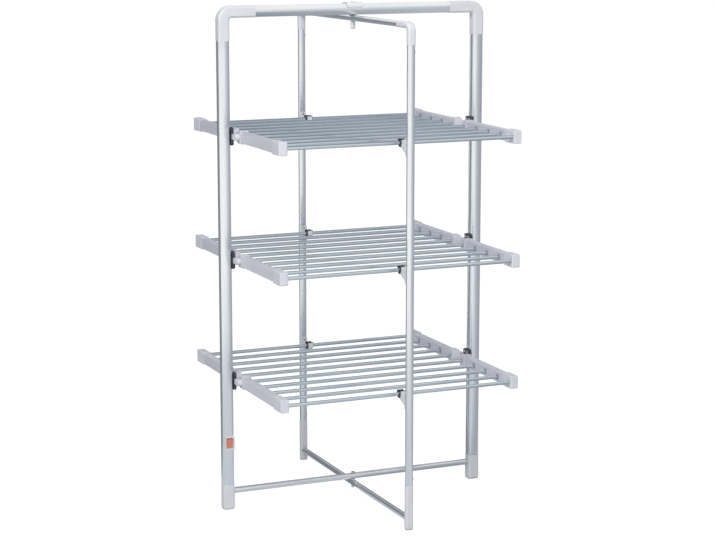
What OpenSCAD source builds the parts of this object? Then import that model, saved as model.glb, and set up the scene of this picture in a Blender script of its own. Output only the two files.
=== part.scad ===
// Heated clothes airer: two crossed hoops that turn on a common centre line, and three drying
// tiers between them. Each tier is a front and a rear wing of heated bars. A wing hinges on the
// outer hoop near the centre line and its outermost bar lies in a hook on the inner hoop.
// X runs along the outer hoop, Y along the inner hoop, and the front is towards -Y.

/* [Outer hoop] */
// Height of the outer hoop above the floor
frame_h = 1380; // [1370:5:1480]
// Distance between the axes of the two outer posts
frame_w = 754; // [700:2:800]
// Width of the outer tube in the plane of the hoop
outer_tube_w = 30; // [28:1:34]
// Depth of the outer tube from front to back
outer_tube_d = 30; // [28:1:34]
// Wall of the outer tube
outer_wall = 1.6; // [1.2:0.1:2]
// Corner radius of the outer tube
outer_corner_r = 6; // [4:0.5:7]
// Length of a top corner fitting down the post, from the top of the hoop
elbow_drop = 92; // [80:1:110]
// Length of a top corner fitting along the bar, from the outside of the post
elbow_run = 104; // [90:1:120]
// Height of a post's foot fitting above the floor
foot_h = 70; // [65:1:90]

/* [Inner hoop] */
// Distance between the axes of the front and rear posts
inner_span = 750; // [740:2:770]
// Width of the inner tube across the hoop
inner_tube_w = 20; // [18:0.5:22]
// Thickness of the inner tube in the plane of the hoop
inner_tube_t = 15; // [14:0.5:16]
// Wall of the inner tube
inner_wall = 1.5; // [1.2:0.1:1.8]
// Corner radius of the inner tube
inner_corner_r = 5; // [3:0.5:5.5]
// Length of an inner corner fitting down the post, from the top of the hoop
inner_elbow_drop = 58; // [50:1:70]
// Length of an inner corner fitting along the bar, from the outside of the post
inner_elbow_run = 76; // [60:1:90]
// Height of an inner foot fitting above the floor
inner_foot_h = 123; // [100:1:140]

/* [Corner and foot fittings] */
// How far the plastic fittings stand proud of the tubes
fitting_proud = 1; // [0.5:0.1:1.2]
// Inside radius of the bend in a corner fitting
bend_r = 6; // [4:0.5:12]
// Wall of the plug that a fitting pushes into a tube
plug_wall = 2.4; // [2:0.1:3]
// Length of the plug in a frame tube
plug_len = 34; // [25:1:40]
// Clearance of a plug in its tube on each side
plug_fit = 0.15; // [0.1:0.05:0.3]
// Thickness of a rubber foot pad
pad_t = 4; // [3:0.5:6]

/* [Lower bars and centre pivots] */
// Outside diameter of the two lower bars
cross_d = 17; // [15:0.5:18]
// Wall of the lower bars
cross_wall = 1.2; // [1:0.1:2]
// Height of the inner lower bar's axis above the floor
inner_cross_z = 30; // [28:1:34]
// Gap between the two lower bars where they cross
cross_gap = 2.4; // [2:0.1:3]
// Depth of a lower bar's seat in a foot fitting
cross_seat = 11; // [8:1:12]
// Gap between the two top bars where they cross
pivot_gap = 1.6; // [1.4:0.1:2]
// Shank diameter of the upper pivot bolt
upper_bolt_d = 8; // [6:0.5:9]
// Shank diameter of the lower pivot bolt
lower_bolt_d = 6; // [5:0.5:7]
// Diameter of the knob under the upper pivot
knob_d = 13; // [12:0.5:15]
// Height of the knob under the upper pivot
knob_h = 22; // [16:1:26]
// Length of the saddle on the top bar
saddle_len = 48; // [40:1:60]
// Thickness of the saddle
saddle_t = 4; // [3:0.5:5]
// How far the saddle reaches down the sides of the top bar
saddle_drop = 9; // [7:1:14]

/* [Tiers] */
// Height of the bottom tier's bars above the floor
bottom_tier_z = 362; // [340:1:370]
// Space left under the inner hoop's top bar by the top tier's wings when they are folded up
raised_gap = 3.4; // [3:0.2:20]
// Diameter of a heated bar
bar_d = 10; // [9:0.5:11]
// Wall of a heated bar
bar_wall = 1.2; // [1:0.1:1.5]
// Distance from a wing's last bar to the face of the inner hoop's post beside it
hook_reach = 42.5; // [40:0.5:45]
// Distance of a wing's hinge, which is also its first bar, from the centre line
hinge_y = 37; // [34:0.5:37]
// Width of a rail that carries the bars' ends
rail_w = 22; // [20:0.5:22.5]
// Height of a rail
rail_h = 30; // [28:0.5:32]
// Wall of a rail
rail_wall = 2; // [1.5:0.1:2.5]
// Width of the end caps and hinge blocks
cap_w = 24; // [23:0.5:26]
// Height of the end caps and hinge blocks
cap_h = 36; // [34:0.5:38]
// Length of an end cap
cap_len = 53; // [45:1:56]
// How far an end cap reaches past the last bar
cap_over = 8; // [7:0.5:9]
// Length of a hinge block from its pin to the rail
block_len = 13; // [10:0.5:16]
// Length of the plugs in the rails
rail_plug_len = 14; // [10:1:14]

/* [Hinges] */
// Space between a post and the wing beside it
hinge_gap = 14; // [13:0.5:16]
// Thickness of a bracket's plate
bracket_t = 8; // [8:0.5:9]
// Width of a bracket's plate
bracket_w = 34; // [30:1:40]
// Height of a bracket's plate
bracket_h = 48; // [44:1:56]
// Depth of the slot in a bracket's plate that holds the yoke
yoke_t = 6.5; // [6.5:0.1:7]
// Height of the yoke's arm
yoke_h = 14; // [12:0.5:16]
// Diameter of the yoke's bosses round the hinge pins
boss_d = 18; // [16:0.5:22]
// Diameter of a hinge pin
pin_d = 8; // [7:0.5:9]
// Depth of a hinge pin in its block
pin_depth = 8; // [6:0.5:8]
// Play between a bracket's boss and the wing
hinge_play = 0.4; // [0.3:0.1:0.6]
// Running clearance round a pin or pivot bolt
pin_fit = 0.05; // [0.03:0.01:0.08]
// Shank diameter of the rivets
rivet_d = 4; // [3:0.5:4.5]

/* [Hooks] */
// Width of a hook
hook_w = 14; // [12:0.5:14]
// Wall of a hook round its liner
hook_wall = 3.5; // [3:0.5:4]
// Thickness of a hook's soft liner
liner_t = 3; // [2:0.5:3]
// Height of a liner's arms above the bar's axis
liner_rise = 10; // [8:0.5:11]
// Space beside the bar in a liner
liner_side = 0.5; // [0.4:0.05:0.6]
// Space under the bar in a liner
liner_seat = 0.3; // [0.2:0.05:0.4]
// Thickness of the plate that holds a hook to its post
hook_plate_t = 4; // [3:0.5:5]

/* [Switch and wiring] */
// Height of the rocker switch above the floor
switch_z = 190; // [170:1:240]
// Width of the switch housing
switch_w = 29; // [28.5:0.5:30]
// Height of the switch housing
switch_h = 42; // [39:1:50]
// How far the switch housing stands proud of the post
switch_proud = 5; // [4:0.5:8]
// Width of the rocker
rocker_w = 19; // [16:0.5:19]
// Height of the rocker
rocker_h = 26; // [22:0.5:27]
// Angle of the rocker from its middle place to either end
rocker_tilt = 7; // [5:0.5:8]
// Height of the cable gland above the floor
gland_z = 135; // [125:1:145]
// Diameter of the gland's bore
gland_bore_d = 7; // [6:0.5:8]
// Diameter of a heating element in its bar
element_d = 6.8; // [5.8:0.1:6.9]
// Diameter of the wires between the elements
wire_d = 3.2; // [2.4:0.1:3.2]

/* [Hidden] */
$fn = 48;
TIERS = ["bottom", "middle", "top"];
WINGS = [
    for (t = [0:len(TIERS) - 1])
        each [[str(TIERS[t], "_front"), t, -1], [str(TIERS[t], "_rear"), t, 1]]
];
WING_PARTS = ["rails", "bars", "end_caps", "hinge_blocks", "heater"];
FRAME_NODES = [
    "left_post", "right_post", "top_bar", "corner_elbows", "post_feet", "post_foot_pads",
    "lower_crossbar", "hinge_brackets", "hinge_yokes", "hinge_pins", "bracket_rivets",
    "top_saddle", "upper_pivot_bolt", "pivot_knob", "lower_pivot_bolt", "pivot_washers",
    "switch_housing", "switch_contacts", "switch_rocker", "cable_gland", "wiring_harness",
    "inner_posts", "inner_top_bar", "inner_elbows", "inner_feet", "inner_foot_pads",
    "inner_crossbar", "tier_hooks", "hook_liners", "hook_rivets"
];

// Length by which a cut runs past the face that it opens
cut = 1;
// Clearance between pieces that are assembled and don't turn
seat_fit = 0.1;
// Clearance of a pin that is pressed into its seat
press_fit = 0.02;
// Play along the axis at the centre pivots
pivot_play = 0.3;

// Outer hoop
post_x = frame_w / 2;
post_face_x = post_x - outer_tube_w / 2;
outer_bar_z = frame_h - outer_tube_w / 2;
outer_bar_half = post_x + outer_tube_w / 2 - elbow_run;
outer_bend = bend_r + outer_tube_w / 2 + fitting_proud;
pad_stem_r = 4;
pad_stem_h = 6;

// Inner hoop
inner_y = inner_span / 2;
inner_face_y = inner_y - inner_tube_t / 2;
inner_top = frame_h - outer_tube_w - pivot_gap;
inner_bar_z = inner_top - inner_tube_t / 2;
inner_bar_half = inner_y + inner_tube_t / 2 - inner_elbow_run;
inner_bend = bend_r + inner_tube_t / 2 + fitting_proud;
outer_cross_z = inner_cross_z + cross_d + cross_gap;

// Tiers
bar_count = 5;
last_bar_y = inner_face_y - hook_reach;
bar_pitch = (last_bar_y - hinge_y) / (bar_count - 1);
bar_ys = [for (i = [0:bar_count - 1]) hinge_y + i * bar_pitch];
wing_x = post_face_x - hinge_gap;
rail_x = wing_x - cap_w / 2;
bar_gap = 4;
bar_end_x = rail_x - bar_gap;
element_end_x = bar_end_x - 2;
rail_corner_r = 3;
cap_corner_r = 4;
cap_lap = 6;
wing_end_y = last_bar_y + cap_over;
top_tier_z = inner_top - inner_tube_t - raised_gap - (wing_end_y - hinge_y);
tier_pitch = (top_tier_z - bottom_tier_z) / (len(TIERS) - 1);
tier_zs = [for (t = [0:len(TIERS) - 1]) bottom_tier_z + t * tier_pitch];
cap_y = wing_end_y - cap_len;
block_end_y = hinge_y + block_len;
pin_end_x = wing_x - pin_depth;
wire_hole_r = wire_d / 2 + 0.4;

// Brackets
plate_x = post_face_x - bracket_t;
plate_corner_r = 5;
yoke_back_x = plate_x + yoke_t;
pin_seat_x = plate_x + 1.5;
channel_r = wire_d / 2 + 0.3;
cross_channel_r = channel_r + 0.1;
channel_x = pin_seat_x + 0.3 + cross_channel_r;
rivet_y = outer_tube_d / 2 - outer_corner_r - 1;
rivet_z = bracket_h / 2 - 8;
rivet_head = 2;
rivet_tail = 1;

// Centre pivots
bolt_head_r = upper_bolt_d;
bolt_dome_h = 2;
bolt_sink = 1;
knob_top = inner_top - inner_tube_t - pivot_play;
knob_bore_z = inner_top - inner_tube_t - knob_h / 2 - seat_fit;
knob_tip = 3;
lower_head_h = 3;
lower_nut_h = 4;
lower_bolt_end = 2;

// Hooks
liner_r = bar_d / 2 + liner_side;
liner_z = liner_side - liner_seat;
cup_r = liner_r + liner_t;
hook_r = cup_r + hook_wall;
hook_plate_y = inner_face_y - hook_plate_t;
hook_plate_low = hook_r + 20;
hook_plate_high = liner_rise + 6;
hook_tip_z = liner_rise - 2;
hook_rivet_d = 3.2;
hook_rivet_zs = [liner_rise, 5 - hook_plate_low];

// Switch
switch_x = -post_x;
switch_face_y = -outer_tube_d / 2;
rocker_play = 0.4;
rocker_sweep = 1.2;
opening_w = rocker_w + 2 * rocker_play;
opening_h = rocker_h + 2 * rocker_sweep;
box_wall = 1.2;
box_w = opening_w + 2 * box_wall;
box_h = opening_h + 2 * box_wall;
box_depth = 15;
rocker_pivot_y = switch_face_y + 1;
rocker_front = switch_proud + 3;
rocker_back = 3;
rocker_pin_d = 3;
contact_w = 5;
contact_t = 0.8;
contact_pitch = 8;
contact_tail_y = switch_face_y + box_depth + 5;
gland_neck_r = gland_bore_d / 2 + 2;
gland_flange_r = gland_neck_r + 2.5;
gland_flange_t = 3;
trunk_d = 5;
trunk_y = outer_tube_d / 2 - outer_wall - trunk_d / 2 - 1;
lead_d = 2;

// Shapes that several pieces share
module rounded(w, h, r) {
    square([w - 2 * r, h], center = true);
    square([w, h - 2 * r], center = true);
    for (sx = [-1, 1], sy = [-1, 1])
        translate([sx * (w / 2 - r), sy * (h / 2 - r)]) circle(r = r);
}

module tube_section(w, h, r, wall) {
    difference() {
        rounded(w, h, r);
        rounded(w - 2 * wall, h - 2 * wall, max(r - wall, 0.4));
    }
}

// A rounded outline, grown by the same amount on every side
module grown(w, h, r, grow) {
    rounded(w + 2 * grow, h + 2 * grow, r + grow);
}

// The child outline, drawn in Y and Z, runs from x0 to x1
module along_x(x0, x1) {
    translate([x0, 0, 0]) rotate([90, 0, 90]) linear_extrude(x1 - x0) children();
}

// The child outline, drawn in X and Z, runs from y0 to y1
module along_y(y0, y1) {
    translate([0, y1, 0]) rotate([90, 0, 0]) linear_extrude(y1 - y0) children();
}

module along_z(z0, z1) {
    translate([0, 0, z0]) linear_extrude(z1 - z0) children();
}

module rod_x(x0, x1, r) { translate([x0, 0, 0]) rotate([0, 90, 0]) cylinder(r = r, h = x1 - x0); }
module rod_y(y0, y1, r) { translate([0, y1, 0]) rotate([90, 0, 0]) cylinder(r = r, h = y1 - y0); }
module rod_z(z0, z1, r) { translate([0, 0, z0]) cylinder(r = r, h = z1 - z0); }

module pair_x() { for (m = [0, 1]) mirror([m, 0, 0]) children(); }
module pair_y() { for (m = [0, 1]) mirror([0, m, 0]) children(); }

// A block whose edges are all rounded
module soft_block(w, d, h, r) {
    intersection() {
        along_x(-w / 2, w / 2) rounded(d, h, r);
        along_y(-d / 2, d / 2) rounded(w, h, r);
        along_z(-h / 2, h / 2) rounded(w, d, r);
    }
}

// One section swept up a post, round the top corner and along the bar, at the -X side of a hoop.
// post and bar are the places of the two axes, and bend is the radius of the bend on them.
module corner_run(post, bar, bend, in_w, across, r, z0, x1) {
    translate([-post, 0, 0]) along_z(z0, bar - bend) rounded(in_w, across, r);
    along_x(-post + bend, x1) translate([0, bar]) rounded(across, in_w, r);
    translate([-post + bend, 0, bar - bend]) rotate([90, 0, 0]) rotate([0, 0, 90])
        rotate_extrude(angle = 90) translate([bend, 0]) rounded(in_w, across, r);
}

// Moulded top corner: a hollow elbow with a plug at each end
module corner_fitting(post, bar, bend, tube_in, tube_across, wall, r, z0, x1) {
    body_in = tube_in + 2 * fitting_proud;
    body_across = tube_across + 2 * fitting_proud;
    plug_in = tube_in - 2 * (wall + plug_fit);
    plug_across = tube_across - 2 * (wall + plug_fit);
    hollow_in = plug_in - 2 * plug_wall;
    hollow_across = plug_across - 2 * plug_wall;
    difference() {
        union() {
            corner_run(post, bar, bend, body_in, body_across, r + fitting_proud, z0, x1);
            corner_run(post, bar, bend, plug_in, plug_across, max(r - wall, 0.4),
                z0 - plug_len, x1 + plug_len);
        }
        corner_run(post, bar, bend, hollow_in, hollow_across, 1,
            z0 - plug_len - cut, x1 + plug_len + cut);
    }
}

// Moulded foot: a block with a plug for the tube above, a seat for a lower bar and a hole
// for the rubber pad's stem. It is drawn on the Z axis, with the bar's seat towards +X.
module foot_fitting(tube_in, tube_across, wall, r, height, bar_z) {
    plug_inset = 2 * (wall + plug_fit);
    side = tube_in / 2 + fitting_proud;
    difference() {
        union() {
            along_z(pad_t, height) grown(tube_in, tube_across, r, fitting_proud);
            along_z(height - cut, height + plug_len)
                rounded(tube_in - plug_inset, tube_across - plug_inset, max(r - wall, 0.4));
        }
        translate([0, 0, bar_z])
            rod_x(side - cross_seat, side + cut, cross_d / 2 + seat_fit);
        rod_z(pad_t - cut, pad_t + pad_stem_h + seat_fit, pad_stem_r + seat_fit);
    }
}

module foot_pad(tube_in, tube_across, r) {
    along_z(0, pad_t) rounded(tube_in, tube_across, r);
    rod_z(pad_t - cut, pad_t + pad_stem_h, pad_stem_r);
}

// Outer hoop

module post_tube() {
    along_z(foot_h, frame_h - elbow_drop)
        tube_section(outer_tube_w, outer_tube_d, outer_corner_r, outer_wall);
}

// Holes in the inner wall of a post, on its -X side, for the rivets and wires of the brackets
module bracket_holes(wall_x) {
    for (z = tier_zs) translate([wall_x, 0, z]) {
        rod_x(-outer_wall - cut, outer_wall + cut, channel_r);
        for (sy = [-1, 1], sz = [-1, 1])
            translate([0, sy * rivet_y, sz * rivet_z])
                rod_x(-outer_wall - cut, outer_wall + cut, rivet_d / 2 + seat_fit);
    }
}

module left_post() {
    color("#d9dbdd") difference() {
        translate([-post_x, 0, 0]) post_tube();
        bracket_holes(-post_face_x);
        translate([switch_x, 0, switch_z])
            along_y(switch_face_y - cut, switch_face_y + outer_wall + cut)
                square([box_w + 2 * seat_fit, box_h + 2 * seat_fit], center = true);
        translate([-post_x, 0, gland_z])
            rod_y(outer_tube_d / 2 - outer_wall - cut, outer_tube_d / 2 + cut, gland_neck_r + seat_fit);
    }
}

module right_post() {
    color("#d9dbdd") difference() {
        translate([post_x, 0, 0]) post_tube();
        bracket_holes(post_face_x);
    }
}

module top_bar() {
    color("#d9dbdd") difference() {
        along_x(-outer_bar_half, outer_bar_half) translate([0, outer_bar_z])
            tube_section(outer_tube_d, outer_tube_w, outer_corner_r, outer_wall);
        rod_z(frame_h - outer_tube_w - cut, frame_h + cut, upper_bolt_d / 2 + seat_fit);
    }
}

module corner_elbows() {
    color("#d7d6da") pair_x()
        corner_fitting(post_x, outer_bar_z, outer_bend, outer_tube_w, outer_tube_d, outer_wall,
            outer_corner_r, frame_h - elbow_drop, -outer_bar_half);
}

module post_feet() {
    color("#d7d6da") pair_x() translate([-post_x, 0, 0])
        foot_fitting(outer_tube_w, outer_tube_d, outer_wall, outer_corner_r, foot_h, outer_cross_z);
}

module post_foot_pads() {
    color("#bcbcc0") pair_x() translate([-post_x, 0, 0])
        foot_pad(outer_tube_w, outer_tube_d, outer_corner_r);
}

module lower_crossbar() {
    half = post_x - outer_tube_w / 2 - fitting_proud + cross_seat - seat_fit;
    color("#b9bcc0") translate([0, 0, outer_cross_z]) difference() {
        rod_x(-half, half, cross_d / 2);
        rod_x(-half - cut, half + cut, cross_d / 2 - cross_wall);
        rod_z(-cross_d, cross_d, lower_bolt_d / 2 + seat_fit);
    }
}

// Way for the wires at the +X side, from the post to both pins
module wire_channel() {
    cross_half = hinge_y + channel_r + 0.3;
    pair_y() translate([0, hinge_y, 0]) rod_x(pin_seat_x - cut, channel_x, channel_r);
    translate([channel_x, 0, 0]) rod_y(-cross_half, cross_half, cross_channel_r);
    rod_x(channel_x, post_face_x + cut, channel_r);
}

// Plate at the +X side, riveted to the post's inner face, with a slot across it for the yoke
module hinge_plate() {
    difference() {
        along_x(plate_x, post_face_x) rounded(bracket_w, bracket_h, plate_corner_r);
        along_x(plate_x - cut, yoke_back_x)
            square([bracket_w + 2 * cut, yoke_h + 2 * seat_fit], center = true);
        wire_channel();
        for (sy = [-1, 1], sz = [-1, 1])
            translate([0, sy * rivet_y, sz * rivet_z])
                rod_x(plate_x - cut, post_face_x + cut, rivet_d / 2 + seat_fit);
    }
}

module hinge_brackets() {
    color("#3b3e44") for (z = tier_zs) translate([0, 0, z]) pair_x() hinge_plate();
}

// Arm that crosses the plate and carries a boss for the pin of each wing
module hinge_yoke() {
    difference() {
        union() {
            along_x(plate_x, yoke_back_x - seat_fit) square([2 * hinge_y, yoke_h], center = true);
            pair_y() translate([0, hinge_y, 0])
                rod_x(wing_x + hinge_play, yoke_back_x - seat_fit, boss_d / 2);
        }
        pair_y() translate([0, hinge_y, 0]) rod_x(wing_x, pin_seat_x, pin_d / 2 + press_fit);
        wire_channel();
    }
}

module hinge_yokes() {
    color("#d3d2d6") for (z = tier_zs) translate([0, 0, z]) pair_x() hinge_yoke();
}

module hinge_pins() {
    color("#a7abb0") for (z = tier_zs) translate([0, 0, z]) pair_x() pair_y()
        translate([0, hinge_y, 0]) difference() {
            rod_x(pin_end_x, pin_seat_x, pin_d / 2);
            rod_x(pin_end_x - cut, pin_seat_x + cut, wire_hole_r);
        }
}

module rivet(head_x, tail_x, d) {
    rod_x(head_x, tail_x, d / 2);
    translate([head_x, 0, 0]) rotate([0, -90, 0]) cylinder(r1 = d, r2 = d * 0.7, h = rivet_head);
}

module bracket_rivets() {
    color("#c3c5c9") for (z = tier_zs) translate([0, 0, z]) pair_x()
        for (sy = [-1, 1], sz = [-1, 1])
            translate([0, sy * rivet_y, sz * rivet_z])
                rivet(plate_x, post_face_x + outer_wall + rivet_tail, rivet_d);
}

// Centre pivots

module top_saddle() {
    color("#e6e6e9") difference() {
        along_x(-saddle_len / 2, saddle_len / 2) difference() {
            translate([0, outer_bar_z]) grown(outer_tube_d, outer_tube_w, outer_corner_r, saddle_t);
            translate([0, outer_bar_z]) grown(outer_tube_d, outer_tube_w, outer_corner_r, seat_fit);
            translate([-outer_tube_d, frame_h - saddle_drop - 2 * outer_tube_w])
                square(2 * outer_tube_w);
        }
        rod_z(frame_h - cut, frame_h + 2 * saddle_t, bolt_head_r + seat_fit);
    }
}

module upper_pivot_bolt() {
    color("#c3c5c9") {
        rod_z(knob_bore_z + seat_fit, frame_h + cut, upper_bolt_d / 2);
        rod_z(frame_h, frame_h + saddle_t - bolt_sink, bolt_head_r);
        translate([0, 0, frame_h + saddle_t - bolt_sink])
            cylinder(r1 = bolt_head_r, r2 = bolt_head_r * 0.6, h = bolt_dome_h);
    }
}

module pivot_knob() {
    color("#e6e6e9") difference() {
        union() {
            rod_z(knob_top - knob_h + knob_tip, knob_top, knob_d / 2);
            translate([0, 0, knob_top - knob_h])
                cylinder(r1 = knob_d / 2 - knob_tip, r2 = knob_d / 2, h = knob_tip);
        }
        rod_z(knob_bore_z, knob_top + cut, upper_bolt_d / 2 + seat_fit);
    }
}

// Bolt through the two lower bars, with its nut under the inner one
module lower_pivot_bolt() {
    head_z = outer_cross_z + cross_d / 2;
    nut_z = inner_cross_z - cross_d / 2 - pivot_play;
    color("#c3c5c9") {
        rod_z(nut_z - lower_nut_h - lower_bolt_end, head_z + cut, lower_bolt_d / 2);
        rod_z(head_z, head_z + lower_head_h, lower_bolt_d * 0.9);
        difference() {
            translate([0, 0, nut_z - lower_nut_h])
                cylinder(r = lower_bolt_d * 0.92, h = lower_nut_h, $fn = 6);
            rod_z(nut_z - lower_nut_h - cut, nut_z + cut, lower_bolt_d / 2 + press_fit);
        }
    }
}

module pivot_washers() {
    color("#e6e6e9") {
        difference() {
            rod_z(inner_top + pivot_play, frame_h - outer_tube_w, upper_bolt_d);
            rod_z(inner_top, frame_h, upper_bolt_d / 2 + seat_fit);
        }
        difference() {
            rod_z(inner_cross_z + cross_d / 2 + pivot_play, outer_cross_z - cross_d / 2, lower_bolt_d);
            rod_z(inner_cross_z, outer_cross_z, lower_bolt_d / 2 + seat_fit);
        }
    }
}

// Switch, gland and wiring, all at the left post

module switch_housing() {
    floor_y = switch_face_y + box_depth;
    color("#d3d1d5") translate([switch_x, 0, 0]) difference() {
        union() {
            difference() {
                translate([0, 0, switch_z])
                    along_y(switch_face_y - switch_proud, switch_face_y + outer_corner_r)
                        rounded(switch_w, switch_h, 4);
                along_z(switch_z - switch_h, switch_z + switch_h)
                    grown(outer_tube_w, outer_tube_d, outer_corner_r, seat_fit);
            }
            translate([0, 0, switch_z]) along_y(switch_face_y - cut, floor_y)
                square([box_w, box_h], center = true);
        }
        translate([0, 0, switch_z]) {
            along_y(switch_face_y - switch_proud - cut, floor_y - box_wall)
                square([opening_w, opening_h], center = true);
            for (i = [-1:1]) translate([0, 0, i * contact_pitch])
                along_y(floor_y - 2 * box_wall, floor_y + cut)
                    square([contact_w + 2 * seat_fit, contact_t + 2 * seat_fit], center = true);
            translate([0, rocker_pivot_y, 0])
                rod_x(-box_w / 2 - 0.05, box_w / 2 + 0.05, rocker_pin_d / 2 + pin_fit);
        }
    }
}

module switch_contacts() {
    color("#c9a24a") for (i = [-1:1]) translate([switch_x, 0, switch_z + i * contact_pitch])
        along_y(switch_face_y + box_depth - box_wall - 3, contact_tail_y)
            square([contact_w, contact_t], center = true);
}

// Rocker, drawn with its lower half pressed in. Its face is two flats that meet in a shallow valley.
module switch_rocker() {
    valley = 1.4;
    color("#d9582f") translate([switch_x, rocker_pivot_y, switch_z]) rotate([rocker_tilt, 0, 0]) {
        along_x(-rocker_w / 2, rocker_w / 2) polygon([
            [-rocker_front, rocker_h / 2], [-rocker_front + valley, 0], [-rocker_front, -rocker_h / 2],
            [0, -rocker_h / 2], [rocker_back, -rocker_h / 4], [rocker_back, rocker_h / 4], [0, rocker_h / 2]
        ]);
        rod_x(-box_w / 2 + 0.2, box_w / 2 - 0.2, rocker_pin_d / 2);
    }
}

module cable_gland() {
    color("#4a4b50") translate([-post_x, 0, gland_z]) difference() {
        union() {
            rod_y(outer_tube_d / 2, outer_tube_d / 2 + gland_flange_t, gland_flange_r);
            rod_y(outer_tube_d / 2 - outer_wall - 1, outer_tube_d / 2 + cut, gland_neck_r);
        }
        rod_y(outer_tube_d / 2 - outer_wall - 2, outer_tube_d / 2 + gland_flange_t + cut, gland_bore_d / 2);
    }
}

// Wires inside the left post, from the gland past the switch to both pins of each left bracket
module wiring_harness() {
    wire_r = wire_d / 2 - 0.1;
    color("#c9cbd0") translate([-post_x, 0, 0]) {
        translate([0, trunk_y, 0]) rod_z(gland_z, top_tier_z, trunk_d / 2);
        for (z = [gland_z, top_tier_z]) translate([0, trunk_y, z]) sphere(r = trunk_d / 2);
        translate([0, 0, gland_z]) rod_y(trunk_y, outer_tube_d / 2, trunk_d / 2);
        for (i = [-1:1]) translate([0, 0, switch_z + i * contact_pitch])
            rod_y(contact_tail_y, trunk_y, lead_d / 2);
        for (z = tier_zs) translate([0, 0, z]) {
            rod_y(0, trunk_y, wire_r);
            sphere(r = wire_r);
            rod_x(0, post_x - channel_x, wire_r);
            translate([post_x - channel_x, 0, 0]) rod_y(-hinge_y, hinge_y, wire_r);
        }
    }
}

// Inner hoop

module inner_post() {
    along_z(inner_foot_h, inner_top - inner_elbow_drop)
        tube_section(inner_tube_w, inner_tube_t, inner_corner_r, inner_wall);
}

// Rivet holes in the inner wall of an inner post that stands at -Y
module hook_holes() {
    for (z = tier_zs, dz = hook_rivet_zs) translate([0, -inner_face_y, z + dz])
        rod_y(-inner_wall - cut, inner_wall + cut, hook_rivet_d / 2 + seat_fit);
}

module inner_posts() {
    color("#e3e4e8") pair_y() difference() {
        translate([0, -inner_y, 0]) inner_post();
        hook_holes();
    }
}

module inner_top_bar() {
    color("#d9dbdd") difference() {
        along_y(-inner_bar_half, inner_bar_half) translate([0, inner_bar_z])
            tube_section(inner_tube_w, inner_tube_t, inner_corner_r, inner_wall);
        rod_z(inner_top - inner_tube_t - cut, inner_top + cut, upper_bolt_d / 2 + pin_fit);
    }
}

module inner_elbows() {
    color("#d7d6da") pair_y() rotate([0, 0, 90])
        corner_fitting(inner_y, inner_bar_z, inner_bend, inner_tube_t, inner_tube_w, inner_wall,
            inner_corner_r, inner_top - inner_elbow_drop, -inner_bar_half);
}

module inner_feet() {
    color("#d7d6da") pair_y() translate([0, -inner_y, 0]) rotate([0, 0, 90])
        foot_fitting(inner_tube_t, inner_tube_w, inner_wall, inner_corner_r, inner_foot_h, inner_cross_z);
}

module inner_foot_pads() {
    color("#bcbcc0") pair_y() translate([0, -inner_y, 0]) rotate([0, 0, 90])
        foot_pad(inner_tube_t, inner_tube_w, inner_corner_r);
}

module inner_crossbar() {
    half = inner_face_y - fitting_proud + cross_seat - seat_fit;
    color("#b9bcc0") translate([0, 0, inner_cross_z]) difference() {
        rod_y(-half, half, cross_d / 2);
        rod_y(-half - cut, half + cut, cross_d / 2 - cross_wall);
        rod_z(-cross_d, cross_d, lower_bolt_d / 2 + pin_fit);
    }
}

// Outline of a hook in Y and Z, with the bar's axis at the hook's own height
module hook_outline() {
    difference() {
        union() {
            translate([last_bar_y, liner_z]) circle(r = hook_r);
            translate([last_bar_y - hook_r, liner_z]) square([2 * hook_r, hook_tip_z]);
            translate([last_bar_y, liner_z - hook_r]) square([hook_plate_y - last_bar_y + cut, hook_r]);
            polygon([
                [last_bar_y + hook_r / 2, liner_z - hook_r], [hook_plate_y + cut, liner_z - hook_r],
                [hook_plate_y + cut, liner_z - hook_plate_low + 4]
            ]);
            polygon([
                [last_bar_y + cup_r, liner_z], [last_bar_y + hook_r, liner_z + hook_tip_z],
                [hook_plate_y + cut, liner_z + 2], [hook_plate_y + cut, liner_z - 2]
            ]);
        }
        translate([last_bar_y, liner_z]) circle(r = cup_r);
        translate([last_bar_y - cup_r, liner_z]) square([2 * cup_r, 2 * hook_r]);
    }
}

module tier_hooks() {
    color("#dcdbe0") for (z = tier_zs) translate([0, 0, z]) pair_y() difference() {
        union() {
            along_x(-hook_w / 2, hook_w / 2) hook_outline();
            translate([0, 0, liner_z]) along_y(hook_plate_y, inner_face_y)
                translate([0, (hook_plate_high - hook_plate_low) / 2])
                    rounded(inner_tube_w - 1, hook_plate_high + hook_plate_low, 3);
        }
        for (dz = hook_rivet_zs) translate([0, 0, dz])
            rod_y(hook_plate_y - cut, inner_face_y + cut, hook_rivet_d / 2 + seat_fit);
        translate([0, 0, hook_rivet_zs[1]])
            rod_y(hook_plate_y - 3 * rivet_head, hook_plate_y, hook_rivet_d + 0.4);
    }
}

module hook_liners() {
    color("#2c2e34") for (z = tier_zs) translate([0, 0, z + liner_z]) pair_y()
        along_x(-hook_w / 2, hook_w / 2) difference() {
            union() {
                translate([last_bar_y, 0]) circle(r = cup_r - seat_fit);
                translate([last_bar_y - cup_r + seat_fit, 0])
                    square([2 * (cup_r - seat_fit), liner_rise]);
            }
            translate([last_bar_y, 0]) circle(r = liner_r);
            translate([last_bar_y - liner_r, 0]) square([2 * liner_r, liner_rise + cut]);
        }
}

module hook_rivets() {
    color("#c3c5c9") for (z = tier_zs, dz = hook_rivet_zs) translate([0, 0, z + dz]) pair_y()
        rotate([0, 0, 90]) rivet(hook_plate_y, inner_face_y + inner_wall + rivet_tail, hook_rivet_d);
}

// Wings, drawn at the rear and mirrored to the front

module wing_place(w) {
    translate([0, 0, tier_zs[w[1]]]) mirror([0, w[2] < 0 ? 1 : 0, 0]) children();
}

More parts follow.
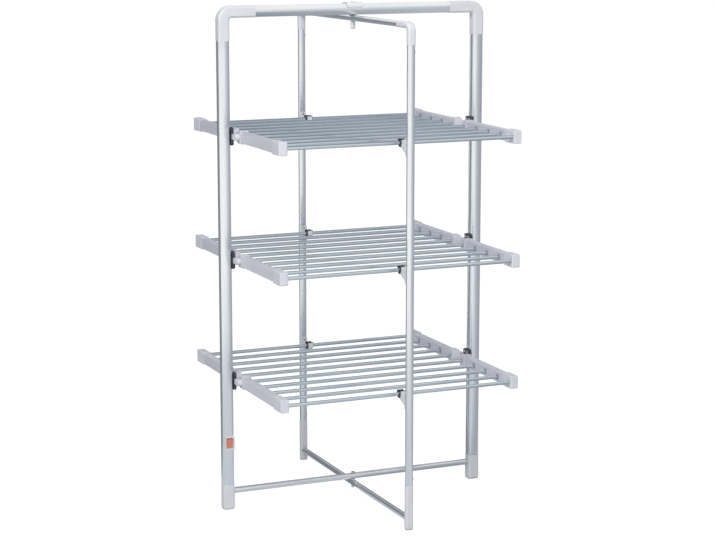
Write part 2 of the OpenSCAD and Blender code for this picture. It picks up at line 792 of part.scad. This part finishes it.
module rail_plug(y0, y1) {
    inset = rail_wall + plug_fit;
    along_y(y0, y1) translate([rail_x, 0]) rounded(rail_w - 2 * inset, rail_h - 2 * inset, 1);
}

// Seat for a bar's end, with the wire's way on to the rail's axis
module bar_socket(y) {
    translate([0, y, 0]) {
        rod_x(wing_x - cap_w - cut, bar_end_x + seat_fit, bar_d / 2 + seat_fit);
        rod_x(bar_end_x, rail_x, wire_hole_r);
        translate([rail_x, 0, 0]) sphere(r = wire_hole_r);
    }
}

module wing_rails(w) {
    color("#cdcbd7") wing_place(w) pair_x() difference() {
        along_y(block_end_y, cap_y) translate([rail_x, 0])
            tube_section(rail_w, rail_h, rail_corner_r, rail_wall);
        for (y = bar_ys) if (y > block_end_y && y < cap_y) translate([0, y, 0])
            rod_x(rail_x - rail_w / 2 - cut, rail_x - rail_w / 2 + rail_wall + cut, bar_d / 2 + seat_fit);
    }
}

module wing_bars(w) {
    color("#f0f1f4") wing_place(w) for (y = bar_ys) translate([0, y, 0]) difference() {
        rod_x(-bar_end_x, bar_end_x, bar_d / 2);
        rod_x(-bar_end_x - cut, bar_end_x + cut, bar_d / 2 - bar_wall);
    }
}

module wing_end_caps(w) {
    color("#dedce4") wing_place(w) pair_x() difference() {
        union() {
            translate([rail_x, (cap_y + wing_end_y) / 2, 0])
                soft_block(cap_w, cap_len, cap_h, cap_corner_r);
            rail_plug(cap_y - rail_plug_len, cap_y + cap_lap);
        }
        bar_socket(last_bar_y);
        translate([rail_x, 0, 0]) rod_y(cap_y - rail_plug_len - cut, last_bar_y, wire_hole_r);
    }
}

module wing_hinge_blocks(w) {
    color("#dedce4") wing_place(w) pair_x() difference() {
        union() {
            intersection() {
                along_x(wing_x - cap_w, wing_x) {
                    translate([hinge_y, 0]) circle(r = cap_h / 2);
                    translate([hinge_y, -cap_h / 2]) square([block_len, cap_h]);
                }
                along_y(0, block_end_y) translate([rail_x, 0]) rounded(cap_w, cap_h, rail_corner_r);
            }
            rail_plug(block_end_y - cut, block_end_y + rail_plug_len);
        }
        bar_socket(hinge_y);
        translate([0, hinge_y, 0]) {
            rod_x(rail_x, pin_end_x, wire_hole_r);
            rod_x(pin_end_x - pivot_play, wing_x + cut, pin_d / 2 + pin_fit);
        }
        translate([rail_x, 0, 0]) rod_y(hinge_y, block_end_y + rail_plug_len + cut, wire_hole_r);
    }
}

// One heating cable: an element in each bar, joined by wires that run in the rails.
// Its lead leaves along the left hinge axis, through the hollow pin.
module wing_heater(w) {
    wire_r = wire_d / 2;
    color("#e08a4a") wing_place(w) {
        for (y = bar_ys) translate([0, y, 0]) rod_x(-element_end_x, element_end_x, element_d / 2);
        for (i = [0:bar_count - 2]) mirror([i % 2, 0, 0]) {
            for (y = [bar_ys[i], bar_ys[i + 1]]) translate([0, y, 0]) {
                rod_x(element_end_x - cut, rail_x, wire_r);
                translate([rail_x, 0, 0]) sphere(r = wire_r);
            }
            translate([rail_x, 0, 0]) rod_y(bar_ys[i], bar_ys[i + 1], wire_r);
        }
        translate([0, hinge_y, 0]) rod_x(-channel_x + wire_r + 0.2, -element_end_x + cut, wire_r);
    }
}

left_post();
right_post();
top_bar();
corner_elbows();
post_feet();
post_foot_pads();
lower_crossbar();
hinge_brackets();
hinge_yokes();
hinge_pins();
bracket_rivets();
top_saddle();
upper_pivot_bolt();
pivot_knob();
lower_pivot_bolt();
pivot_washers();
switch_housing();
switch_contacts();
switch_rocker();
cable_gland();
wiring_harness();
inner_posts();
inner_top_bar();
inner_elbows();
inner_feet();
inner_foot_pads();
inner_crossbar();
tier_hooks();
hook_liners();
hook_rivets();
for (w = WINGS) {
    wing_rails(w);
    wing_bars(w);
    wing_end_caps(w);
    wing_hinge_blocks(w);
    wing_heater(w);
}
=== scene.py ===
import math

import bmesh
import bpy
from mathutils import Matrix, Vector


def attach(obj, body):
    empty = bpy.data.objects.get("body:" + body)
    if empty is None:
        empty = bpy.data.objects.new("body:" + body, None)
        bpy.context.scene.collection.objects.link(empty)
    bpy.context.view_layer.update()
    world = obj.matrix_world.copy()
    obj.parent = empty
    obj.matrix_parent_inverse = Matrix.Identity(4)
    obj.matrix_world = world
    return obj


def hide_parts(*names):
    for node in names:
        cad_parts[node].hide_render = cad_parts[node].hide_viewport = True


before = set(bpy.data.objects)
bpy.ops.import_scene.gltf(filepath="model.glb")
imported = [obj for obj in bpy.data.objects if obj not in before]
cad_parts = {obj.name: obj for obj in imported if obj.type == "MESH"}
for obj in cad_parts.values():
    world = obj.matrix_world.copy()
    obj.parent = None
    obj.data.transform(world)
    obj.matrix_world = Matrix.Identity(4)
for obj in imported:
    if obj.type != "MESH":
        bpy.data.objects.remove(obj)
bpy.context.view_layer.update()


# Foot pads
# Four flat pads of pale grey thermoplastic rubber, one under each post. They are injection moulded, and a
# stem on each is pressed into the foot above it.

def srgb(code):
    """A colour as a paint chart writes it, turned to the linear values of a shader."""
    parts = [int(code[i:i + 2], 16) / 255 for i in (1, 3, 5)]
    return [p / 12.92 if p <= 0.04045 else ((p + 0.055) / 1.055) ** 2.4 for p in parts] + [1.0]


def put(material, kind, inputs=(), **settings):
    """Adds one node. An input takes a value, or the output of another node."""
    node = material.node_tree.nodes.new("ShaderNode" + kind)
    for name, value in settings.items():
        setattr(node, name, value)
    for name, value in dict(inputs).items():
        if isinstance(value, bpy.types.NodeSocket):
            material.node_tree.links.new(value, node.inputs[name])
        else:
            node.inputs[name].default_value = value
    return node


def blank_material(name):
    """A material with no nodes yet."""
    material = bpy.data.materials.new(name)
    material.use_nodes = True
    material.node_tree.nodes.clear()
    return material


def moulded(name, light, dark, roughness, grain_mm, grain_depth_mm, ior):
    """A moulded piece with the grain of its mould, and a tone that drifts a little as the melt flowed.
    A real grain is about 0.1 mm wide. It is drawn at least ten times as coarse, so that it shows."""
    plastic = blank_material(name)
    place = put(plastic, "TexCoord")
    grain = put(plastic, "TexNoise", {
        "Vector": place.outputs["Object"], "Scale": 1000 / grain_mm, "Detail": 2.0})
    flow_mm = 45
    flow = put(plastic, "TexNoise", {
        "Vector": place.outputs["Object"], "Scale": 1000 / flow_mm, "Detail": 3.0})
    tint = put(plastic, "MixRGB", {
        "Fac": flow.outputs["Fac"], "Color1": srgb(light), "Color2": srgb(dark)})
    gloss = put(plastic, "MapRange", {
        "Value": grain.outputs["Fac"], "From Min": 0.3, "From Max": 0.7,
        "To Min": roughness - 0.08, "To Max": roughness + 0.08})
    relief = put(plastic, "Bump", {
        "Height": grain.outputs["Fac"], "Strength": 0.8, "Distance": grain_depth_mm / 1000})
    skin = put(plastic, "BsdfPrincipled", {
        "Base Color": tint.outputs["Color"], "IOR": ior,
        "Roughness": gloss.outputs["Result"], "Normal": relief.outputs["Normal"]})
    put(plastic, "OutputMaterial", {"Surface": skin.outputs["BSDF"]})
    return plastic


def clad(material, *nodes):
    """Gives CAD nodes their finish."""
    for name in nodes:
        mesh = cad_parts[name].data
        mesh.materials.clear()
        mesh.materials.append(material)


def soften(edge_mm, *nodes):
    """Rounds the sharp edges of CAD nodes, as a mould or a deburring wheel leaves them."""
    for name in nodes:
        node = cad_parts[name]
        weld = node.modifiers.new("weld", "WELD")
        weld.merge_threshold = 0.00001
        bevel = node.modifiers.new("soft_edges", "BEVEL")
        bevel.width, bevel.segments = edge_mm / 1000, 2
        bevel.limit_method, bevel.angle_limit = "ANGLE", math.radians(38)
        bevel.miter_outer = "MITER_ARC"
        shade = node.modifiers.new("even_shading", "WEIGHTED_NORMAL")
        shade.keep_sharp = False


# Soft rubber: matt, with a fine grain that hides scuffs
pad_rubber = moulded("moulded_pale_rubber", "#bcbdc1", "#b0b1b6", 0.75, 1.0, 0.1, 1.52)
clad(pad_rubber, "post_foot_pads", "inner_foot_pads")
soften(0.8, "post_foot_pads", "inner_foot_pads")


# Feet
# Four hollow feet moulded in light grey ABS. Each is pushed up into its post by a plug, and takes the end
# of a lower bar in a round seat. The mould was spark eroded, which leaves a fine even grain.

# Grained ABS: an even light grey with a broad, dull highlight
grey_abs = moulded("grained_light_grey_abs", "#d4d6db", "#c5c7cd", 0.42, 1.2, 0.07, 1.53)
clad(grey_abs, "post_feet", "inner_feet")
soften(0.7, "post_feet", "inner_feet")


# Outer posts
# Two posts of aluminium extrusion, 30 mm square with rounded corners. They are sawn to length and satin
# anodised. The die leaves faint straight lines along them, and faces that are very slightly crowned.

def extruded(name, along, light, dark, roughness, line_mm, centre=None, crown_mm=0, metallic=1.0):
    """Anodised extrusion whose length runs along axis 0, 1 or 2, with the lines of its die.
    The crown's radius bends the shading of its flat faces about the tube's own axis."""
    metal = blank_material(name)
    place = put(metal, "TexCoord")
    line_length_mm, cloud_mm, line_depth_mm = 700, 160, 0.08
    lines = put(metal, "Mapping", {
        "Vector": place.outputs["Object"],
        "Scale": [1000 / (line_length_mm if axis == along else line_mm) for axis in range(3)]})
    streaks = put(metal, "TexNoise", {"Vector": lines.outputs["Vector"], "Scale": 1.0, "Detail": 3.0})
    clouds = put(metal, "TexNoise", {
        "Vector": place.outputs["Object"], "Scale": 1000 / cloud_mm, "Detail": 2.0})
    tint = put(metal, "MixRGB", {
        "Fac": clouds.outputs["Fac"], "Color1": srgb(light), "Color2": srgb(dark)})
    gloss = put(metal, "MapRange", {
        "Value": streaks.outputs["Fac"], "From Min": 0.3, "From Max": 0.7,
        "To Min": roughness - 0.05, "To Max": roughness + 0.05})
    relief = put(metal, "Bump", {
        "Height": streaks.outputs["Fac"], "Strength": 0.3, "Distance": line_depth_mm / 1000})
    if crown_mm:
        # A crown falls away from the axis by the square of the distance over twice its radius
        folded = put(metal, "VectorMath", {0: place.outputs["Object"]}, operation="ABSOLUTE")
        offset = put(metal, "VectorMath", {0: folded.outputs["Vector"], 1: centre}, operation="SUBTRACT")
        mask = [0.0 if axis == along else 1.0 for axis in range(3)]
        radial = put(metal, "VectorMath", {0: offset.outputs["Vector"], 1: mask}, operation="MULTIPLY")
        square = put(metal, "VectorMath", {0: radial.outputs["Vector"], 1: radial.outputs["Vector"]},
                     operation="DOT_PRODUCT")
        fall = put(metal, "Math", {0: square.outputs["Value"], 1: -1000 / (2 * crown_mm)},
                   operation="MULTIPLY")
        crown = put(metal, "Bump", {"Height": fall.outputs["Value"], "Strength": 1.0, "Distance": 1.0})
        metal.node_tree.links.new(crown.outputs["Normal"], relief.inputs["Normal"])
    skin = put(metal, "BsdfPrincipled", {
        "Base Color": tint.outputs["Color"], "Metallic": metallic,
        "Roughness": gloss.outputs["Result"], "Normal": relief.outputs["Normal"]})
    put(metal, "OutputMaterial", {"Surface": skin.outputs["BSDF"]})
    return metal


# Satin anodising: a pale metal whose reflections are soft and a little stretched.
# The die's lines are about 0.3 mm apart, and are drawn 2.5 mm apart so that they show.
post_x, crown_mm = 0.377, 36
post_metal = extruded("satin_anodised_post", 2, "#f2f4f6", "#e6e9ec", 0.24, 2.5, (post_x, 0, 0), crown_mm)
clad(post_metal, "left_post", "right_post")


# Corner elbows
# Two elbows moulded in the same grey ABS as the feet. Each is pushed into a post and the top bar by its
# two plugs.

clad(grey_abs, "corner_elbows")
soften(0.5, "corner_elbows")


# Frame screws of the outer hoop
# Six cross-recessed pan heads of zinc-plated steel. Each goes through the rear wall of a tube into the
# plug of the elbow or foot inside it.

def add_turned(shape, rings, place, sides=48, hollow=False):
    """Adds a form built up in rings along its own Z axis. Each ring is a height and a radius in mm, or the
    radius as a function of the angle. A hollow form runs from its last ring back to its first."""
    loops = []
    for height, radius in rings:
        loop = []
        for side in range(sides):
            angle = 2 * math.pi * side / sides
            reach = radius(angle) if callable(radius) else radius
            point = Vector((reach * math.cos(angle), reach * math.sin(angle), height)) / 1000
            loop.append(shape.verts.new(place @ point))
        loops.append(loop)
    if hollow:
        loops.append(loops[0])
    else:
        shape.faces.new(loops[0][::-1])
        shape.faces.new(loops[-1])
    for low, high in zip(loops, loops[1:]):
        for side in range(sides):
            after = (side + 1) % sides
            shape.faces.new((low[side], low[after], high[after], high[side]))


def make_piece(name, shape, material, body):
    """Turns a bmesh into a piece that rides on a body, smooth but for its sharp corners."""
    bmesh.ops.recalc_face_normals(shape, faces=shape.faces)
    for face in shape.faces:
        face.smooth = True
    mesh = bpy.data.meshes.new(name)
    shape.to_mesh(mesh)
    shape.free()
    mesh.set_sharp_from_angle(angle=math.radians(40))
    mesh.materials.append(material)
    piece = bpy.data.objects.new(name, mesh)
    bpy.context.scene.collection.objects.link(piece)
    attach(piece, body)
    return piece


# Zinc plating: a cool, slightly dull metal
zinc = extruded("zinc_plated_steel", 2, "#d4d6d9", "#c4c6ca", 0.25, 1.0)
pan_head_mm = [(0, 3.5), (0.6, 3.5), (1.2, 3.35), (1.7, 2.95), (2.0, 2.4), (2.1, 2.1)]
recess_mm = [(2.1, 1.9), (0.9, 1.4)]


def crossed(reach):
    """The outline of a cross recess: four lobes, with a core of about a third of their reach."""
    return lambda angle: reach * (0.35 + 0.65 * abs(math.cos(2 * angle)) ** 3)


def add_pan_head(shape, place):
    add_turned(shape, pan_head_mm + [(height, crossed(reach)) for height, reach in recess_mm], place)


outer_screws = bmesh.new()
facing_rear = Matrix.Rotation(math.radians(-90), 4, "X")
post_rear_y = 0.015
for side in (-1, 1):
    for x, z in ((post_x, 0.087), (post_x, 1.271), (0.271, 1.365)):
        add_pan_head(outer_screws, Matrix.Translation((side * x, post_rear_y, z)) @ facing_rear)
make_piece("outer_frame_screws", outer_screws, zinc, "outer_frame")


# Top bar
# The same aluminium extrusion as the posts, sawn to length and drilled in the middle for the pivot bolt.
# Its ends are pushed over the plugs of the two elbows.

top_bar_z = 1.365
top_bar_metal = extruded("satin_anodised_top_bar", 0, "#f2f4f6", "#e6e9ec", 0.24, 2.5,
                         (0, 0, top_bar_z), crown_mm)
clad(top_bar_metal, "top_bar")


# Lower bars
# Two round aluminium tubes of 17 mm, polished before they were anodised. Each is pressed into two feet,
# and one bolt joins them where they cross, so that the inner hoop turns about it.

# Bright anodising: clearer reflections than on the posts
lower_metal_x = extruded("bright_anodised_lower_bar_x", 0, "#e6e7ea", "#d8dade", 0.13, 2.0)
lower_metal_y = extruded("bright_anodised_lower_bar_y", 1, "#e6e7ea", "#d8dade", 0.13, 2.0)
clad(lower_metal_x, "lower_crossbar")
clad(lower_metal_y, "inner_crossbar")
clad(zinc, "lower_pivot_bolt")
soften(0.4, "lower_pivot_bolt")


# Hinge brackets
# Six plates moulded in dark glass-filled nylon, riveted to the posts, with a pale yoke pressed into each.
# The yoke holds a hollow steel pin for each of the two wings.

# Glass-filled nylon: dark blue grey, with a coarse grain and a wide dull sheen
dark_nylon = moulded("glass_filled_dark_nylon", "#3a3e46", "#2f333a", 0.5, 1.0, 0.09, 1.53)
clad(dark_nylon, "hinge_brackets")
soften(0.8, "hinge_brackets")
# Pale ABS: a hint of lilac beside the grey of the feet
pale_abs = moulded("grained_pale_abs", "#d6d7df", "#c8c9d2", 0.42, 1.2, 0.07, 1.53)
clad(pale_abs, "hinge_yokes")
soften(0.6, "hinge_yokes")
clad(zinc, "hinge_pins", "bracket_rivets")
soften(0.5, "bracket_rivets")


# Switch and wiring
# A rocker switch snapped into the front of the left post: a grey ABS bezel, an orange rocker and brass
# contacts. The gland behind it takes the mains lead, and the wires climb inside the post.

clad(grey_abs, "switch_housing")
soften(0.6, "switch_housing")
# Polycarbonate from a polished mould: an even salmon orange with a small bright highlight
rocker_orange = moulded("polished_orange_polycarbonate", "#cf8575", "#c47868", 0.25, 2.0, 0.005, 1.58)
clad(rocker_orange, "switch_rocker")
soften(0.8, "switch_rocker")
# Stamped brass strip: yellow, with the fine lines of rolling, and hidden in the switch
brass = extruded("stamped_brass", 1, "#d9b45a", "#cba64e", 0.25, 1.0)
clad(brass, "switch_contacts")
# Silicone sheath: soft, matt and orange brown
silicone = moulded("silicone_cable_sheath", "#e0874a", "#d27a40", 0.5, 2.0, 0.02, 1.41)
clad(silicone, "wiring_harness")
clad(dark_nylon, "cable_gland")
soften(0.5, "cable_gland")


# Top pivot
# A bolt joins the two top bars. Its head lies in a moulded saddle on the outer bar, a nylon washer keeps
# the bars apart, and a fluted nylon knob is screwed on from below by hand.

# Unfilled nylon: a little waxy, so its highlight is soft
pale_nylon = moulded("moulded_pale_nylon", "#d9dbe0", "#cfd1d7", 0.38, 1.5, 0.05, 1.53)
clad(pale_nylon, "top_saddle", "pivot_washers")
soften(0.5, "top_saddle")
clad(zinc, "upper_pivot_bolt")
soften(0.5, "upper_pivot_bolt")
knob_r_mm, flutes, flute_depth_mm, knob_top_z, bore_r_mm = 6.5, 8, 0.8, 1.3331, 4.1


def fluted(reach):
    """A round outline with shallow rounded flutes for the fingers."""
    return lambda angle: reach - flute_depth_mm * (0.5 + 0.5 * math.cos(flutes * angle)) ** 2


knob_mm = [(-10.8, bore_r_mm), (0, bore_r_mm), (0, 5.6), (-1.0, 5.9), (-1.8, fluted(6.3)),
           (-2.6, fluted(knob_r_mm)), (-18.0, fluted(knob_r_mm)), (-19.6, fluted(6.2)),
           (-20.9, fluted(5.2)), (-21.7, 3.6), (-22.0, 2.0)]
knob_shape = bmesh.new()
add_turned(knob_shape, knob_mm, Matrix.Translation((0, 0, knob_top_z)), sides=96)
knob = make_piece("fluted_knob", knob_shape, pale_nylon, "outer_frame")
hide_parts("pivot_knob")


# Inner hoop
# A narrower hoop of the same make: extruded tubes of 20 by 15 mm, grey ABS elbows and feet, and a screw
# through the right side of each joint.

# The posts' anodising on a narrower tube, whose closer crown draws the bands together
inner_y, inner_bar_z, inner_crown_mm = 0.375, 1.3409, 19
inner_metal = extruded("satin_anodised_inner_post", 2, "#f2f4f6", "#e6e9ec", 0.24, 2.5,
                       (0, inner_y, 0), inner_crown_mm)
clad(inner_metal, "inner_posts")
# A little greyer and smoother, so its reflections are darker and clearer
inner_bar_metal = extruded("satin_anodised_inner_bar", 1, "#e2e3e6", "#d2d4d8", 0.16, 2.5)
clad(inner_bar_metal, "inner_top_bar")
clad(grey_abs, "inner_elbows")
soften(0.5, "inner_elbows")
inner_screws = bmesh.new()
facing_right = Matrix.Rotation(math.radians(90), 4, "Y")
inner_side_x = 0.010
for side in (-1, 1):
    for y, z in ((inner_y, 0.140), (inner_y, 1.273), (0.290, inner_bar_z)):
        add_pan_head(inner_screws, Matrix.Translation((inner_side_x, side * y, z)) @ facing_right)
make_piece("inner_frame_screws", inner_screws, zinc, "inner_frame")


# Hooks
# Six J-shaped hooks moulded in pale nylon and riveted to the inner faces of the inner posts. A dark flanged
# liner is snapped into each, and the outermost bar of a wing rests in the liner.

clad(pale_nylon, "tier_hooks")
soften(0.5, "tier_hooks")
clad(zinc, "hook_rivets")
soften(0.5, "hook_rivets")
hook_y, liner_centre_z, liner_rise, turn_deg = 0.325, 0.0002, 0.010, 15
tier_heights = {"bottom": 0.362, "middle": 0.698, "top": 1.034}
# Half of the liner's section, as its reach from the bar's axis and its distance to the side
liner_section_mm = [(5.5, 8.2), (5.8, 8.5), (10.4, 8.5), (10.8, 8.1), (10.8, 7.4), (10.4, 7.0), (8.4, 7.0)]
liner_section_mm += [(reach, -x) for reach, x in reversed(liner_section_mm)]
# The U that the section follows: down one straight side, round below the bar, and up the other
liner_path = [(liner_rise, 180), (liner_rise / 2, 180)]
liner_path += [(0, degrees) for degrees in range(180, 361, turn_deg)]
liner_path += [(liner_rise / 2, 360), (liner_rise, 360)]
liners = bmesh.new()
for tier_z in tier_heights.values():
    for side in (-1, 1):
        loops = []
        for lift, degrees in liner_path:
            out_y, out_z = math.cos(math.radians(degrees)), math.sin(math.radians(degrees))
            loops.append([liners.verts.new((x / 1000, side * hook_y + reach / 1000 * out_y,
                                            tier_z + liner_centre_z + lift + reach / 1000 * out_z))
                          for reach, x in liner_section_mm])
        count = len(liner_section_mm)
        for low, high in zip(loops, loops[1:]):
            for i in range(count):
                liners.faces.new((low[i], low[(i + 1) % count], high[(i + 1) % count], high[i]))
        liners.faces.new(loops[0][::-1])
        liners.faces.new(loops[-1])
flanged_liners = make_piece("flanged_hook_liners", liners, dark_nylon, "inner_frame")
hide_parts("hook_liners")


# Wings
# Six half tiers. Each has two hollow rails and five tubes of 10 mm that carry a heating cable, all of
# anodised aluminium, and moulded end caps, hinge blocks and collars that close the rails.

# Etched before anodising: a milky, matt metal with a faint lilac tone. Its thick oxide scatters about half
# of the light, so it is half as metallic as the posts.
rail_metal = extruded("matt_anodised_rail", 1, "#e3e3ec", "#d6d6e0", 0.5, 2.5, metallic=0.5)
# Bright anodising: a narrow, clear reflection along each bar
heat_bar_metal = extruded("bright_anodised_bar", 0, "#d0d9df", "#c2cbd2", 0.15, 2.0)
rail_inner_x, collar_bar_ys = 0.325, (0.109, 0.181, 0.253)
# Grey nylon: duller and darker than the caps. Its dark grey also paints the shade where each bar enters its
# rail
collar_nylon_and_shade = moulded("moulded_collar_nylon_and_shade", "#858a93", "#7a7f88", 0.45, 1.5, 0.05, 1.53)
collar_mm = [(0, 5.05), (0, 7.4), (0.9, 7.4), (1.5, 6.9), (1.8, 6.2), (1.8, 5.05)]
for tier, tier_z in tier_heights.items():
    for side, towards in (("front", -1), ("rear", 1)):
        wing = tier + "_" + side
        clad(rail_metal, wing + "_rails")
        clad(heat_bar_metal, wing + "_bars")
        clad(pale_abs, wing + "_end_caps", wing + "_hinge_blocks")
        soften(0.6, wing + "_end_caps", wing + "_hinge_blocks")
        clad(silicone, wing + "_heater")
        collars = bmesh.new()
        for end in (-1, 1):
            facing_in = Matrix.Rotation(math.radians(-90 * end), 4, "Y")
            for bar_y in collar_bar_ys:
                place = Matrix.Translation((end * rail_inner_x, towards * bar_y, tier_z))
                add_turned(collars, collar_mm, place @ facing_in, sides=32, hollow=True)
        make_piece(wing + "_collars", collars, collar_nylon_and_shade, wing + "_wing")


# Studio
# A white paper floor that keeps a soft shadow, a white room, a broad window and a softbox high at the
# front left, and a weaker window behind. Glowing grey screens, a canopy and aprons, seen only by the metal,
# paint grey and dark reflections onto it.

def white_where_seen(tree, diffuse_strength):
    """1 for the camera and for mirrors and glass, and diffuse_strength for the light on the object."""
    ray = put(tree, "LightPath")
    mirror = put(tree, "Math", {0: ray.outputs["Is Camera Ray"], 1: ray.outputs["Is Glossy Ray"]},
                 operation="MAXIMUM")
    seen = put(tree, "Math", {0: mirror.outputs["Value"], 1: ray.outputs["Is Transmission Ray"]},
               operation="MAXIMUM")
    return put(tree, "MapRange", {
        "Value": seen.outputs["Value"], "To Min": diffuse_strength, "To Max": 1.0})


floor_half = 60.0
floor_corners = [(x * floor_half, y * floor_half, 0.0) for x, y in ((-1, -1), (1, -1), (1, 1), (-1, 1))]
floor_mesh = bpy.data.meshes.new("studio_floor")
floor_mesh.from_pydata(floor_corners, [], [(0, 1, 2, 3)])
floor = bpy.data.objects.new("studio_floor", floor_mesh)
bpy.context.scene.collection.objects.link(floor)
paper = blank_material("white_paper_floor")
# Most of what is seen is glow and the rest is lit paper: white together, and greyer in the shadow
glow_share = 0.62
glow = put(paper, "Math", {0: white_where_seen(paper, 0.0).outputs["Result"], 1: glow_share},
           operation="MULTIPLY")
matt = put(paper, "BsdfDiffuse", {"Color": srgb("#f4f4f4")})
white = put(paper, "Emission", {"Color": (1, 1, 1, 1), "Strength": 1.33})
sheet = put(paper, "MixShader", {
    0: glow.outputs["Value"], 1: matt.outputs["BSDF"], 2: white.outputs["Emission"]})
put(paper, "OutputMaterial", {"Surface": sheet.outputs["Shader"]})
floor_mesh.materials.append(paper)

room = bpy.data.worlds.new("white_room")
bpy.context.scene.world = room
room.use_nodes = True
room.node_tree.nodes.clear()
walls = put(room, "Background", {
    "Color": (1, 1, 1, 1), "Strength": white_where_seen(room, 0.36).outputs["Result"]})
put(room, "OutputWorld", {"Surface": walls.outputs["Background"]})


def hang(lamp, place, aim):
    """Hangs a lamp and turns it towards its aim. Mirrors don't see it, so it leaves no hot streaks."""
    holder = bpy.data.objects.new(lamp.name, lamp)
    holder.location = place
    holder.rotation_mode = "QUATERNION"
    holder.rotation_quaternion = (Vector(aim) - Vector(place)).to_track_quat("-Z", "Y")
    holder.visible_glossy = False
    bpy.context.scene.collection.objects.link(holder)


daylight = bpy.data.lights.new("daylight_window", "SUN")
daylight.energy, daylight.angle = 0.9, math.radians(24)
hang(daylight, (-3.8, -3.6, 5.0), (0, 0, 0.7))
fill = bpy.data.lights.new("fill_window", "SUN")
fill.energy, fill.angle = 0.7, math.radians(40)
hang(fill, (4.0, 3.2, 1.8), (0, 0, 0.7))
key = bpy.data.lights.new("key_softbox", "AREA")
key.shape, key.size, key.size_y, key.energy = "RECTANGLE", 1.4, 1.4, 46
hang(key, (-1.0, -1.9, 2.7), (0, 0, 1.0))


def painted_reflection_card(name, corners, faces, left_shade, right_shade):
    """A glowing grey sheet that only mirrors see, hung where a photographer hangs a flag: it paints a grey
    reflection into the metal. Its painted grey changes evenly from 0.4 m left of the middle to 0.6 m right
    of it."""
    mesh = bpy.data.meshes.new(name)
    mesh.from_pydata(corners, [], faces)
    paint = blank_material(name + "_painted_reflection")
    place = put(paint, "SeparateXYZ", {"Vector": put(paint, "TexCoord").outputs["Object"]})
    fade = put(paint, "MapRange", {"Value": place.outputs["X"], "From Min": -0.4, "From Max": 0.6})
    shade = put(paint, "MixRGB", {
        "Fac": fade.outputs["Result"], "Color1": srgb(left_shade), "Color2": srgb(right_shade)})
    # The sheet glows: its grey is a painted reflection, not a lit card
    grey = put(paint, "Emission", {"Color": shade.outputs["Color"], "Strength": 1.0})
    put(paint, "OutputMaterial", {"Surface": grey.outputs["Emission"]})
    mesh.materials.append(paint)
    card = bpy.data.objects.new(name, mesh)
    bpy.context.scene.collection.objects.link(card)
    card.visible_camera = card.visible_diffuse = card.visible_shadow = card.visible_transmission = False


def painted_reflection_screen(name, from_deg, to_deg, high, shade, radius=2.4):
    """A curved glowing screen round the set that paints a grey reflection into the metal, with an apron of
    the same glowing grey on the floor before it.
    The angle is 0 at the front, -Y, and grows towards +X. A height of 0 leaves the apron alone."""
    apron_z, apron_inner = 0.002, 0.02
    outline = [(apron_inner, apron_z), (radius, apron_z)] + ([(radius, high)] if high else [])
    steps, rows = 12, len(outline)
    corners = []
    for step in range(steps + 1):
        angle = math.radians(from_deg + (to_deg - from_deg) * step / steps)
        corners += [(reach * math.sin(angle), -reach * math.cos(angle), z) for reach, z in outline]
    faces = [(rows * i + row, rows * (i + 1) + row, rows * (i + 1) + row + 1, rows * i + row + 1)
             for i in range(steps) for row in range(rows - 1)]
    painted_reflection_card(name, corners, faces, shade, shade)


# Glowing grey screens and aprons, seen only by the metal: painted reflections of a darker studio round it
painted_reflection_screen("front_apron", -75, 14, 0, "#cdd2d8")
painted_reflection_screen("front_right_screen", 14, 30, 1.7, "#d9dce0")
painted_reflection_screen("right_screen", 30, 48, 1.7, "#b9bdc3")
painted_reflection_screen("side_screen", 48, 125, 1.7, "#a8acb4")
painted_reflection_screen("rear_right_screen", 125, 172, 1.7, "#8b9097")
painted_reflection_screen("rear_apron", 172, 184, 0, "#cdd2d8")
painted_reflection_screen("rear_left_screen", 184, 234, 1.7, "#898e95")
painted_reflection_screen("left_apron", 234, 285, 0, "#cdd2d8")
# A glowing grey canopy just under the top bar paints dark reflections onto the upper halves of the bars
# below it, darker at the left. Its front edge stops short, so that the front bars catch a bright line from
# the room
canopy_half, canopy_front, canopy_z = 1.3, -0.38, 1.308
canopy_corners = ((-canopy_half, canopy_front), (canopy_half, canopy_front),
                  (canopy_half, canopy_half), (-canopy_half, canopy_half))
painted_reflection_card("painted_reflection_canopy", [(x, y, canopy_z) for x, y in canopy_corners],
          [(0, 1, 2, 3)], "#8b9199", "#cdd2d8")


# Camera
# Placed from measured points of the picture: 24 degrees to the left of the front, and 10 degrees above.
# The lens is a long one, at 5.5 m, so the posts stay nearly parallel.

azimuth, elevation, distance = math.radians(-23.56), math.radians(10.35), 5.502
aim_z, aim_right, aim_up = 0.690, 0.0142, -0.0464
back = Vector((math.sin(azimuth) * math.cos(elevation), -math.cos(azimuth) * math.cos(elevation),
               math.sin(elevation)))
right = Vector((math.cos(azimuth), math.sin(azimuth), 0))
up = back.cross(right)
camera_data = bpy.data.cameras.new("camera")
camera_data.lens, camera_data.sensor_width = 99.4, 36.0
camera_data.clip_start, camera_data.clip_end = 0.1, 200.0
camera = bpy.data.objects.new("camera", camera_data)
camera.location = Vector((0, 0, aim_z)) + right * aim_right + up * aim_up + back * distance
camera.rotation_mode = "QUATERNION"
camera.rotation_quaternion = (-back).to_track_quat("-Z", "Y")
bpy.context.scene.collection.objects.link(camera)
bpy.context.scene.camera = camera
bpy.context.scene.view_settings.view_transform = "Standard"
